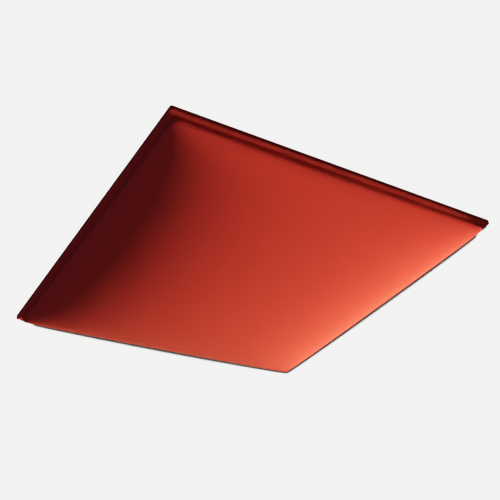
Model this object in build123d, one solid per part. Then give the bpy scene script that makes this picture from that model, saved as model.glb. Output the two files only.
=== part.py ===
from build123d import *
from math import comb
import os

# Acoustic ceiling tile: a square pad whose face swells like a pillow, standing proud of a lay-in ledge.
# The tile lies on its back with the face up. X and Y run along its sides, Z is up, and the origin is the
# centre of the back. All sizes are in millimetres.

# Plan
tile_side = 595.0           # outline of the ledge: a 600 mm module, less the room to lift the tile in
tile_corner_radius = 3.0
ledge_width = 8.0           # bearing strip round the pad
pad_corner_radius = 8.0

# Heights
ledge_thickness = 8.0
wall_height = 9.0           # upright wall of the pad, from the ledge to the line where the face springs
face_rise = 33.0            # crown of the face above that line

# Section of the face through the crown, as handles that the curve leans towards: it leaves the wall
# steeply along the lip, rolls over at the shoulder and runs nearly flat across the middle
lip_run = 16.0              # in from the wall
lip_rise = 19.0             # up from the springing line
shoulder_run = 120.0
shoulder_rise = 32.0
middle_run = 150.0

# Edge rounding
ledge_edge_radius = 1.5
face_edge_radius = 5.0

pad_side = tile_side - 2 * ledge_width
spring_level = ledge_thickness + wall_height


def face_patch():
    """One smooth patch, pinned to a straight square outline and highest over its centre."""
    half = pad_side / 2
    runs = [0, lip_run, shoulder_run, middle_run]
    rises = [0, lip_rise, shoulder_rise, face_rise]
    stations = [run - half for run in runs] + [half - run for run in reversed(runs)]
    shares = [rise / face_rise for rise in rises + rises[::-1]]

    # The crown lies lower than the handles that lift it, so they are raised to bring it to its height
    degree = len(shares) - 1
    crown_share = sum(comb(degree, i) * share for i, share in enumerate(shares)) / 2**degree
    lift = face_rise / crown_share**2
    return Face.make_bezier_surface(
        [
            [(x, y, spring_level + lift * share_x * share_y) for y, share_y in zip(stations, shares)]
            for x, share_x in zip(stations, shares)
        ]
    )


def make_pad():
    """The swelling face on its upright wall, with rounded corners and a soft edge all round."""
    face = face_patch()
    sides = face.edges()
    drop = Vector(0, 0, -wall_height)
    walls = [Face.extrude(side, drop) for side in sides]
    floor = Face(Wire([side.moved(Pos(drop)) for side in sides]))
    pad = Solid(Shell([face, floor, *walls]))
    pad = fillet(pad.edges().filter_by(Axis.Z), pad_corner_radius)
    rim = pad.faces().sort_by(Axis.Z)[-1].edges()
    return fillet(rim, face_edge_radius)


def make_ledge():
    """The flat slab behind the pad, whose margin is what the tile hangs by."""
    ledge = extrude(RectangleRounded(tile_side, tile_side, tile_corner_radius), ledge_thickness)
    outer_edges = ledge.faces().filter_by(Axis.Z).edges()
    return fillet(outer_edges, ledge_edge_radius)


os.makedirs("parts", exist_ok=True)
export_step(make_ledge() + make_pad(), "parts/acoustic_tile.step")
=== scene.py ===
import math

import bpy
import numpy as np
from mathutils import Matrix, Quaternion, Vector


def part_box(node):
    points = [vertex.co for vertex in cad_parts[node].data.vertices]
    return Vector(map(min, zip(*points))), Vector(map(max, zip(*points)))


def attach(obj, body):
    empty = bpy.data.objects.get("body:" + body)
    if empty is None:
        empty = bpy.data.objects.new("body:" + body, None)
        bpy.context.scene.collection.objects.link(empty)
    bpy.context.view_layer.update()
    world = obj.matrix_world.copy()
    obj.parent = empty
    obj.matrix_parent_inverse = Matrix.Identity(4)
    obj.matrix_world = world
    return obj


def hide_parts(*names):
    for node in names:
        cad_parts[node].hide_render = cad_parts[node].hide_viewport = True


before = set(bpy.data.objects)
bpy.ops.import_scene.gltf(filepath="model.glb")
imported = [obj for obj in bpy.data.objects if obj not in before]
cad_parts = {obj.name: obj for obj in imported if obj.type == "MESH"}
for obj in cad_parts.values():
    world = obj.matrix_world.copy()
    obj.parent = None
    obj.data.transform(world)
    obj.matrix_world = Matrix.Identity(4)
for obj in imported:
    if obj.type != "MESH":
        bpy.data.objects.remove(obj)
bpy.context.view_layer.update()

# Looks of the acoustic ceiling tile: a red knitted cover drawn over a pillowed pad, lying face up on its
# back. Everything is in metres, in the part's own frame: Z up, origin at the centre of the back.

NODE = "acoustic_tile"
high_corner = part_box(NODE)[1]

# Sizes that follow the solid
TILE_HALF = high_corner.x
TILE_CORNER = 0.003
LEDGE_WIDTH = 0.008
LEDGE_TOP = 0.008
LEDGE_EDGE = 0.0015
PAD_HALF = TILE_HALF - LEDGE_WIDTH
PAD_CORNER = 0.008
SPRING = 0.017              # level at which the face springs from the wall
CROWN = high_corner.z
FACE_EDGE = 0.005           # radius of the rim's roll

# Handles of the face's section, in from the wall and up from the springing line
RUNS = [0.0, 0.016, 0.120, 0.150]
RISES = [0.0, 0.019, 0.032, CROWN - SPRING]

# Cover
TUCK_RADIUS = 0.0008        # how tightly the cloth turns into the corner between wall and ledge
HEM_WIDTH = 0.035           # cloth turned over on to the back
HEM_THICKNESS = 0.0006
MITRE_DEPTH = 0.0005        # crease where the hem folds at a corner
MITRE_WIDTH = 0.0012

# Knit of the cover
WALE = 0.0012               # spacing of its columns
COURSE = 0.0010             # spacing of its rows
STITCH_LEAN = 0.9           # radians by which a row of stitches wavers beside a column
STITCH_HEIGHT = 0.3         # where a column's height is 1
FUZZ_HEIGHT = 0.5
FUZZ_SCALE = 1500.0
MOTTLE_SCALE = 45.0
MOTTLE_DETAIL = 4.0
RELIEF_PAINTED_SHADE = 0.40          # how much the relief counts in the colour: painted shade in the knit's hollows, painted highlight on the stitches' backs
MOTTLE_TONE = 0.25
KNIT_SHADE_AND_MOTTLE_DARK = (0.15, (0.49, 0.0430, 0.0252))      # tone of the painted shade in the hollows and of the darker mottle, and its colour
KNIT_HIGHLIGHT_AND_MOTTLE_LIGHT = (0.85, (0.57, 0.0498, 0.0294))     # tone of the painted highlight on the backs of the stitches and of the lighter mottle, and its colour
KNIT_ROUGHNESS = 0.80
FUZZ_ROUGHNESS = 0.12       # added where the fuzz stands up
KNIT_SHEEN = 0.05
KNIT_SHEEN_ROUGHNESS = 0.5
KNIT_SHEEN_TINT = (1.0, 0.55, 0.30, 1.0)
KNIT_BUMP = 0.5
KNIT_RELIEF = 0.00012

# Fibre mat on the back
FIBRE_SCALE = 700.0
FIBRE_DETAIL = 6.0
CLOUD_SCALE = 60.0
CLOUD_DETAIL = 3.0
FIBRE_TONE = 0.6            # how much the fibres count in the colour
CLOUD_TONE = 0.4
FLEECE_DARK = (0.3, (0.50, 0.48, 0.44))
FLEECE_LIGHT = (0.7, (0.68, 0.66, 0.61))
FLEECE_ROUGHNESS = 0.85
FIBRE_ROUGHNESS = 0.1
FLEECE_SPECULAR = 0.2
FLEECE_BUMP = 0.4
FLEECE_RELIEF = 0.0002

# Mesh fineness
FINEST_STEP = 0.00012       # at the rim of the face
WIDEST_STEP = 0.0040        # over its middle
STEP_GROWTH = 1.15
ARC_STEPS = 6
WALL_STEPS = 6
LEDGE_STEPS = 4
SIDE_STEPS = 3              # down the outer side of the ledge
HEM_STEPS = 6
SECTION_SAMPLES = 20001
ROLL_INSETS = 401
ROLL_SHARES = 101
TINY = 1e-9                 # slack between lengths that should be equal

# Camera: the photograph's viewing angle, with the picture turned as it is there
CAMERA_EYE = (0.6635, -0.9322, 0.7257)
CAMERA_TARGET = (0.0342, -0.0730, 0.0140)
CAMERA_ROLL = 173.31
CAMERA_LENS = 56.34
CAMERA_SENSOR = 36.0

# Lights: azimuth from +X, elevation and width in degrees, strength in W/m2
KEY_AZIMUTH = 181.5
KEY_ELEVATION = 4.6
KEY_WIDTH = 15.0
KEY_STRENGTH = 51.0
FILL_AZIMUTH = 0.0
FILL_ELEVATION = 35.0
FILL_WIDTH = 50.0
FILL_STRENGTH = 1.35
FILL_COLOUR = (0.0, 0.16, 1.0)
FLOOR_LIGHT_AZIMUTH = 310.0
FLOOR_LIGHT_ELEVATION = 20.0
FLOOR_LIGHT_WIDTH = 3.0
FLOOR_LIGHT_STRENGTH = 48.0
GLOW = 0.285                # even light from all over the sky
BACKDROP = 2.5              # as bright as the lit floor
FLOOR_REACH = 20.0
FLOOR_COLOUR = (0.45, 0.45, 0.445)
FLOOR_ROUGHNESS = 0.9
WHITE = (1.0, 1.0, 1.0)

# Upright cards that keep most of the low key light off the wall and the ledge
CARD_GAP = 0.003            # between a card and the tile
SIDE_CARD_TOP = 0.0165
FRONT_CARD_START = -0.9     # its X, well out towards the key light
FRONT_CARD_START_TOP = 0.002
FRONT_CARD_END_TOP = 0.0515

# Tone curve: how much its toe darkens, and the light that it takes to the top of its range
TONE_TOE = 1.3
TONE_WHITE = 4.0
TONE_POINTS = (0.03, 0.1, 0.25, 0.5, 0.8, 1.2, 1.7, 2.3, 3.1)   # amounts of light at which it is pinned


def face_section():
    """The face's section through the crown.

    Gives two matching lists: the place across the tile, and the share of the rise there.
    """
    stations = np.array([run - PAD_HALF for run in RUNS] + [PAD_HALF - run for run in reversed(RUNS)])
    shares = np.array(RISES + RISES[::-1])
    degree = len(shares) - 1
    along = np.linspace(0.0, 1.0, SECTION_SAMPLES)[:, None]
    powers = np.arange(degree + 1)
    counts = np.array([math.comb(degree, power) for power in powers])
    weights = counts * along**powers * (1 - along) ** (degree - powers)
    share = weights @ shares
    return weights @ stations, share / share.max()


SECTION_PLACE, SECTION_SHARE = face_section()


def section_share(place):
    return np.interp(place, SECTION_PLACE, SECTION_SHARE)


def rim_roll():
    """How the rim rolls into the wall, for faces of growing height beside it.

    Gives three matching lists: the share of the rise that the face has beside that stretch of wall, how far
    in the roll meets the face, and the level at which it leaves the wall.
    """
    inset = np.linspace(0.0, FACE_EDGE, ROLL_INSETS)
    rise = (CROWN - SPRING) * section_share(PAD_HALF - inset)
    shares = np.linspace(0.0, 1.0, ROLL_SHARES)
    meets = []
    levels = []
    for share in shares:
        angle = np.arctan(share * np.gradient(rise, inset))
        meet = np.interp(FACE_EDGE, inset + FACE_EDGE * np.sin(angle), inset)
        touch = SPRING + share * np.interp(meet, inset, rise)
        meets.append(meet)
        levels.append(touch - FACE_EDGE * math.cos(np.interp(meet, inset, angle)))
    return shares, np.array(meets), np.array(levels)


def face_with_rim(x, y, inset):
    """Height of the face with its rim rolled over, and the level at which the roll leaves the wall."""
    shares, meets, levels = rim_roll()
    beside = section_share(np.minimum(np.abs(x), np.abs(y)))
    meet = np.interp(beside, shares, meets)
    level = np.interp(beside, shares, levels)
    in_roll = np.minimum(inset, FACE_EDGE)
    roll = level + np.sqrt(FACE_EDGE**2 - (FACE_EDGE - in_roll) ** 2)
    face = SPRING + (CROWN - SPRING) * section_share(x) * section_share(y)
    return np.where(inset < meet, roll, face), level


def soften_corners(x, y, half, radius):
    """Moves points of a square outline, or of a nest of them, on to outlines with rounded corners."""
    sides = np.stack([x, y])
    far = np.abs(sides) >= half - TINY
    run = np.where(far.all(0), half, np.abs(sides).min(0))
    straight = half - radius
    turn = np.clip((run - straight) / np.maximum(radius, TINY), 0.0, 1.0) * math.pi / 4
    rounded = run > straight
    reach_far = np.where(rounded, straight + radius * np.cos(turn), half)
    reach_near = np.where(rounded, straight + radius * np.sin(turn), run)
    on_x = np.abs(x) >= np.abs(y)
    new_x = np.sign(x) * np.where(on_x, reach_far, reach_near)
    new_y = np.sign(y) * np.where(on_x, reach_near, reach_far)
    return new_x, new_y


def stations_across():
    """Places of the mesh lines across the pad, close together at the rim and wider over the middle."""
    insets = [0.0]
    step = FINEST_STEP
    while insets[-1] + step < PAD_HALF:
        insets.append(insets[-1] + step)
        step = min(step * STEP_GROWTH, WIDEST_STEP)
    insets = np.array(insets[:-1])
    return np.concatenate([insets - PAD_HALF, [0.0], (PAD_HALF - insets)[::-1]])


def even_shares(steps):
    """The share of a run that is done after each of its equal steps."""
    return np.linspace(0.0, 1.0, steps + 1)[1:]


def wall_and_ledge_rings(rim):
    """The cover from the rim of the face to the back, as outlines: half width, corner radius, level."""
    rings = []
    quarter = np.linspace(0.0, math.pi / 2, ARC_STEPS + 1)[1:]
    tuck_top = LEDGE_TOP + TUCK_RADIUS
    for share in even_shares(WALL_STEPS):
        rings.append((PAD_HALF, PAD_CORNER, rim + (tuck_top - rim) * share))
    for turn in quarter:
        out = TUCK_RADIUS * (1 - math.cos(turn))
        rings.append((PAD_HALF + out, PAD_CORNER + out, tuck_top - TUCK_RADIUS * math.sin(turn)))
    start = PAD_HALF + TUCK_RADIUS
    end = TILE_HALF - LEDGE_EDGE
    end_corner = TILE_CORNER - LEDGE_EDGE
    for share in even_shares(LEDGE_STEPS):
        corner = PAD_CORNER + (end_corner - PAD_CORNER) * share
        rings.append((start + (end - start) * share, corner, LEDGE_TOP))
    for turn in quarter:
        out = LEDGE_EDGE * math.sin(turn)
        rings.append((end + out, end_corner + out, LEDGE_TOP - LEDGE_EDGE * (1 - math.cos(turn))))
    side_top = LEDGE_TOP - LEDGE_EDGE
    for share in even_shares(SIDE_STEPS):
        rings.append((TILE_HALF, TILE_CORNER, side_top + (LEDGE_EDGE - side_top) * share))
    for turn in quarter:
        out = LEDGE_EDGE * math.cos(turn)
        rings.append((end + out, end_corner + out, LEDGE_EDGE * (1 - math.sin(turn))))
    return rings


def hem_rings():
    """The cloth turned over on to the back, and its cut edge, in the same form."""
    rings = []
    end = TILE_HALF - LEDGE_EDGE
    end_corner = TILE_CORNER - LEDGE_EDGE
    hem_end = TILE_HALF - HEM_WIDTH
    for share in even_shares(HEM_STEPS):
        rings.append((end + (hem_end - end) * share, end_corner, 0.0))
    for turn in np.linspace(0.0, math.pi / 2, ARC_STEPS + 1)[1:]:
        inward = HEM_THICKNESS * math.sin(turn)
        rings.append((hem_end - inward, end_corner, HEM_THICKNESS * (1 - math.cos(turn))))
    return rings


def mitre_crease(x, y):
    """Depth of the crease along the diagonals of the hem."""
    off_diagonal = np.abs(np.abs(x) - np.abs(y)) / math.sqrt(2)
    return MITRE_DEPTH * np.exp(-((off_diagonal / MITRE_WIDTH) ** 2))


def border_indices(count):
    """Indices of a square grid's border, counter-clockwise seen from above."""
    grid = np.arange(count * count).reshape(count, count)
    return np.concatenate([grid[-1, :-1], grid[::-1, -1][:-1], grid[0, ::-1][:-1], grid[:-1, 0]])


def build_tile():
    """The whole cover as one closed mesh, with the cloth's own flat pattern as its UV map."""
    places = stations_across()
    count = len(places)
    x, y = (g.ravel() for g in np.meshgrid(places, places, indexing="ij"))
    half = np.maximum(np.abs(x), np.abs(y))
    inset = PAD_HALF - half
    plan_x, plan_y = soften_corners(x, y, half, np.maximum(PAD_CORNER - inset, 0.0))
    height, roll_level = face_with_rim(plan_x, plan_y, inset)
    points = [np.stack([plan_x, plan_y, height], 1)]
    cloth = [np.stack([plan_x, plan_y], 1)]

    border = border_indices(count)
    square_x = x[border] / PAD_HALF
    square_y = y[border] / PAD_HALF
    loops = [border]
    total = count * count
    previous = points[0][border]
    run = 0.0
    upright_rings = wall_and_ledge_rings(roll_level[border])
    for number, (ring_half, corner, level) in enumerate(upright_rings + hem_rings()):
        ring_x, ring_y = soften_corners(square_x * ring_half, square_y * ring_half, ring_half, corner)
        ring_z = np.broadcast_to(level, ring_x.shape)
        if number >= len(upright_rings):
            ring_z = np.maximum(ring_z, mitre_crease(ring_x, ring_y))
        ring = np.stack([ring_x, ring_y, ring_z], 1)
        run += np.linalg.norm(ring - previous, axis=1).max()
        spread = PAD_HALF + run
        flat_x, flat_y = soften_corners(square_x * spread, square_y * spread, spread, PAD_CORNER + run)
        points.append(ring)
        cloth.append(np.stack([flat_x, flat_y], 1))
        loops.append(np.arange(total, total + len(border)))
        total += len(border)
        previous = ring

    grid = np.arange(count * count).reshape(count, count)
    quads = [np.stack([grid[:-1, :-1], grid[1:, :-1], grid[1:, 1:], grid[:-1, 1:]], -1).reshape(-1, 4)]
    for upper, lower in zip(loops, loops[1:]):
        quads.append(np.stack([upper, lower, np.roll(lower, -1), np.roll(upper, -1)], 1))
    faces = np.concatenate(quads).tolist()
    faces.append(loops[-1][::-1].tolist())

    mesh = bpy.data.meshes.new("tile_cover")
    mesh.from_pydata(np.concatenate(points).tolist(), [], faces)
    mesh.polygons.foreach_set("use_smooth", np.ones(len(faces), bool))
    layer = mesh.uv_layers.new(name="cloth")
    corner_vertex = np.zeros(len(mesh.loops), np.int32)
    mesh.loops.foreach_get("vertex_index", corner_vertex)
    layer.uv.foreach_set("vector", np.concatenate(cloth)[corner_vertex].astype(np.float32).ravel())
    back_field = mesh.polygons[len(faces) - 1]
    back_field.material_index = 1
    back_field.use_smooth = False
    mesh.update()
    tile = bpy.data.objects.new("tile_cover", mesh)
    bpy.context.scene.collection.objects.link(tile)
    return tile


class Nodes:
    """A short way to write a node material."""

    def __init__(self, name):
        self.material = bpy.data.materials.new(name)
        self.material.use_nodes = True
        self.tree = self.material.node_tree
        self.shader = self.tree.nodes["Principled BSDF"]

    def add(self, kind, **settings):
        node = self.tree.nodes.new(kind)
        for key, value in settings.items():
            setattr(node, key, value)
        return node

    def link(self, source, target):
        self.tree.links.new(source, target)

    def math(self, operation, first, second=None):
        node = self.add("ShaderNodeMath", operation=operation)
        for socket, value in zip(node.inputs, (first, second)):
            if value is None:
                continue
            if isinstance(value, (int, float)):
                socket.default_value = value
            else:
                self.link(value, socket)
        return node.outputs[0]

    def noise(self, vector, scale, detail=2.0):
        node = self.add("ShaderNodeTexNoise")
        node.inputs["Scale"].default_value = scale
        node.inputs["Detail"].default_value = detail
        self.link(vector, node.inputs["Vector"])
        return node.outputs["Fac"]

    def ramp(self, factor, stops):
        node = self.add("ShaderNodeValToRGB")
        elements = node.color_ramp.elements
        for element, (position, colour) in zip(elements, stops):
            element.position = position
            element.color = (*colour, 1.0)
        self.link(factor, node.inputs["Fac"])
        return node.outputs["Color"]

    def bump(self, height, strength, distance):
        node = self.add("ShaderNodeBump")
        node.inputs["Strength"].default_value = strength
        node.inputs["Distance"].default_value = distance
        self.link(height, node.inputs["Height"])
        self.link(node.outputs["Normal"], self.shader.inputs["Normal"])


def knit_material():
    """Fine matt knit: columns of small stitches, a little lighter on their backs and darker in between, as
    painted highlight and painted shade.
    """
    nodes = Nodes("red_knit")
    flat = nodes.add("ShaderNodeUVMap", uv_map="cloth").outputs["UV"]
    parts = nodes.add("ShaderNodeSeparateXYZ")
    nodes.link(flat, parts.inputs[0])
    across = nodes.math("MULTIPLY", parts.outputs[0], math.pi / WALE)
    column = nodes.math("ABSOLUTE", nodes.math("SINE", across))
    lean = nodes.math("MULTIPLY", nodes.math("COSINE", nodes.math("MULTIPLY", across, 2.0)), STITCH_LEAN)
    along = nodes.math("MULTIPLY", parts.outputs[1], 2 * math.pi / COURSE)
    stitch = nodes.math("SINE", nodes.math("ADD", along, lean))
    knit = nodes.math("ADD", column, nodes.math("MULTIPLY", stitch, STITCH_HEIGHT))
    fuzz = nodes.noise(flat, FUZZ_SCALE)
    relief = nodes.math("ADD", knit, nodes.math("MULTIPLY", fuzz, FUZZ_HEIGHT))
    mottle = nodes.noise(flat, MOTTLE_SCALE, MOTTLE_DETAIL)
    # The relief paints shade into the knit's hollows and highlight on the stitches' backs; the mottle is
    # random tone
    relief_painted_shade = nodes.math("MULTIPLY", relief, RELIEF_PAINTED_SHADE)
    mottle_tone = nodes.math("MULTIPLY", mottle, MOTTLE_TONE)
    colour = nodes.ramp(nodes.math("ADD", relief_painted_shade, mottle_tone), [KNIT_SHADE_AND_MOTTLE_DARK, KNIT_HIGHLIGHT_AND_MOTTLE_LIGHT])
    nodes.link(colour, nodes.shader.inputs["Base Color"])
    rough = nodes.math("ADD", nodes.math("MULTIPLY", fuzz, FUZZ_ROUGHNESS), KNIT_ROUGHNESS)
    nodes.link(rough, nodes.shader.inputs["Roughness"])
    nodes.shader.inputs["Specular IOR Level"].default_value = 0.0
    nodes.shader.inputs["Sheen Weight"].default_value = KNIT_SHEEN
    nodes.shader.inputs["Sheen Roughness"].default_value = KNIT_SHEEN_ROUGHNESS
    nodes.shader.inputs["Sheen Tint"].default_value = KNIT_SHEEN_TINT
    nodes.bump(relief, KNIT_BUMP, KNIT_RELIEF)
    return nodes.material


def fleece_material():
    """Plain off-white fibre mat on the back, inside the turned-over cloth."""
    nodes = Nodes("back_fleece")
    flat = nodes.add("ShaderNodeTexCoord").outputs["Object"]
    fibres = nodes.noise(flat, FIBRE_SCALE, FIBRE_DETAIL)
    clouds = nodes.noise(flat, CLOUD_SCALE, CLOUD_DETAIL)
    fibre_tone = nodes.math("MULTIPLY", fibres, FIBRE_TONE)
    cloud_tone = nodes.math("MULTIPLY", clouds, CLOUD_TONE)
    colour = nodes.ramp(nodes.math("ADD", fibre_tone, cloud_tone), [FLEECE_DARK, FLEECE_LIGHT])
    nodes.link(colour, nodes.shader.inputs["Base Color"])
    rough = nodes.math("ADD", nodes.math("MULTIPLY", fibres, FIBRE_ROUGHNESS), FLEECE_ROUGHNESS)
    nodes.link(rough, nodes.shader.inputs["Roughness"])
    nodes.shader.inputs["Specular IOR Level"].default_value = FLEECE_SPECULAR
    nodes.bump(fibres, FLEECE_BUMP, FLEECE_RELIEF)
    return nodes.material


def floor_material():
    nodes = Nodes("pale_floor")
    nodes.shader.inputs["Base Color"].default_value = (*FLOOR_COLOUR, 1.0)
    nodes.shader.inputs["Roughness"].default_value = FLOOR_ROUGHNESS
    nodes.shader.inputs["Specular IOR Level"].default_value = 0.0
    return nodes.material


def add_sheet(name, corners, material):
    """A flat four-sided sheet that throws no light back on to the tile."""
    mesh = bpy.data.meshes.new(name)
    mesh.from_pydata(corners, [], [(0, 1, 2, 3)])
    mesh.materials.append(material)
    sheet = bpy.data.objects.new(name, mesh)
    bpy.context.scene.collection.objects.link(sheet)
    sheet.visible_diffuse = False
    return sheet


def add_floor(material):
    reach = FLOOR_REACH
    corners = [(-reach, -reach, 0), (reach, -reach, 0), (reach, reach, 0), (-reach, reach, 0)]
    return add_sheet("floor", corners, material)


def add_card(name, start, end, start_top, end_top, material):
    """An upright card from one floor point to another, which only shades."""
    card = add_sheet(name, [(*start, 0), (*end, 0), (*end, end_top), (*start, start_top)], material)
    card.visible_camera = False
    card.visible_glossy = False
    card.visible_transmission = False
    return card


def add_cards(material):
    """One card along the side that faces the key light, and one along the front."""
    edge = TILE_HALF + CARD_GAP
    side = add_card("side_card", (-edge, -edge), (-edge, edge), SIDE_CARD_TOP, SIDE_CARD_TOP, material)
    front_start = (FRONT_CARD_START, -edge)
    front_end = (edge, -edge)
    front = add_card(
        "front_card", front_start, front_end, FRONT_CARD_START_TOP, FRONT_CARD_END_TOP, material
    )
    return [side, front]


def gather(name, pieces):
    group = bpy.data.collections.new(name)
    for piece in pieces:
        group.objects.link(piece)
    return group


def add_sun(name, azimuth, elevation, width, strength, lit, shading, colour=WHITE):
    """A soft far lamp that lights the pieces lit, where the pieces shading throw the shadows."""
    lamp = bpy.data.lights.new(name, "SUN")
    lamp.energy = strength
    lamp.color = colour
    lamp.angle = math.radians(width)
    holder = bpy.data.objects.new(name, lamp)
    bpy.context.scene.collection.objects.link(holder)
    around = math.radians(azimuth)
    up = math.radians(elevation)
    towards = Vector((math.cos(up) * math.cos(around), math.cos(up) * math.sin(around), math.sin(up)))
    holder.rotation_euler = towards.to_track_quat("Z", "Y").to_euler()
    holder.light_linking.receiver_collection = gather(name + "_lit", lit)
    holder.light_linking.blocker_collection = gather(name + "_shading", shading)


def add_world():
    """An even glow from above the horizon, none from below it, and a backdrop as pale as the floor."""
    world = bpy.data.worlds.new("studio")
    world.use_nodes = True
    nodes = world.node_tree.nodes
    links = world.node_tree.links
    height = nodes.new("ShaderNodeSeparateXYZ")
    links.new(nodes.new("ShaderNodeTexCoord").outputs["Generated"], height.inputs[0])
    above = nodes.new("ShaderNodeMath")
    above.operation = "GREATER_THAN"
    above.inputs[1].default_value = 0.0
    links.new(height.outputs["Z"], above.inputs[0])
    ambient = nodes["Background"]
    ambient.inputs["Strength"].default_value = GLOW
    links.new(above.outputs[0], ambient.inputs["Color"])
    pale = nodes.new("ShaderNodeBackground")
    pale.inputs["Color"].default_value = (*WHITE, 1.0)
    pale.inputs["Strength"].default_value = BACKDROP
    seen = nodes.new("ShaderNodeMixShader")
    links.new(nodes.new("ShaderNodeLightPath").outputs["Is Camera Ray"], seen.inputs[0])
    links.new(ambient.outputs[0], seen.inputs[1])
    links.new(pale.outputs[0], seen.inputs[2])
    links.new(seen.outputs[0], nodes["World Output"].inputs["Surface"])
    bpy.context.scene.world = world


def add_camera():
    """The photograph's viewing angle: one corner of the tile near and high in the picture."""
    eye = Vector(CAMERA_EYE)
    target = Vector(CAMERA_TARGET)
    camera = bpy.data.cameras.new("camera")
    camera.sensor_width = CAMERA_SENSOR
    camera.lens = CAMERA_LENS
    holder = bpy.data.objects.new("camera", camera)
    holder.location = eye
    roll = Quaternion((0.0, 0.0, 1.0), math.radians(CAMERA_ROLL))
    holder.rotation_mode = "QUATERNION"
    holder.rotation_quaternion = (target - eye).to_track_quat("-Z", "Y") @ roll
    bpy.context.scene.collection.objects.link(holder)
    bpy.context.scene.camera = holder


def shown_light(light):
    return (1 - math.exp(-light)) ** TONE_TOE


def set_tone():
    """A soft shoulder, as film has: bright colours bend towards white and do not clip."""
    view = bpy.context.scene.view_settings
    view.view_transform = "Standard"
    view.use_curve_mapping = True
    mapping = view.curve_mapping
    mapping.white_level = (TONE_WHITE, TONE_WHITE, TONE_WHITE)
    combined = mapping.curves[3]
    for light in TONE_POINTS:
        combined.points.new(light / TONE_WHITE, shown_light(light))
    combined.points[-1].location = (1.0, shown_light(TONE_WHITE))
    mapping.update()


tile = build_tile()
tile.data.materials.append(knit_material())
tile.data.materials.append(fleece_material())
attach(tile, "root")
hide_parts(NODE)

pale = floor_material()
floor = add_floor(pale)
cards = add_cards(pale)
add_sun("key", KEY_AZIMUTH, KEY_ELEVATION, KEY_WIDTH, KEY_STRENGTH, [tile], [tile, *cards])
add_sun("fill", FILL_AZIMUTH, FILL_ELEVATION, FILL_WIDTH, FILL_STRENGTH, [tile], [tile], FILL_COLOUR)
add_sun(
    "floor_light",
    FLOOR_LIGHT_AZIMUTH,
    FLOOR_LIGHT_ELEVATION,
    FLOOR_LIGHT_WIDTH,
    FLOOR_LIGHT_STRENGTH,
    [floor],
    [tile],
)
add_world()
add_camera()
set_tone()
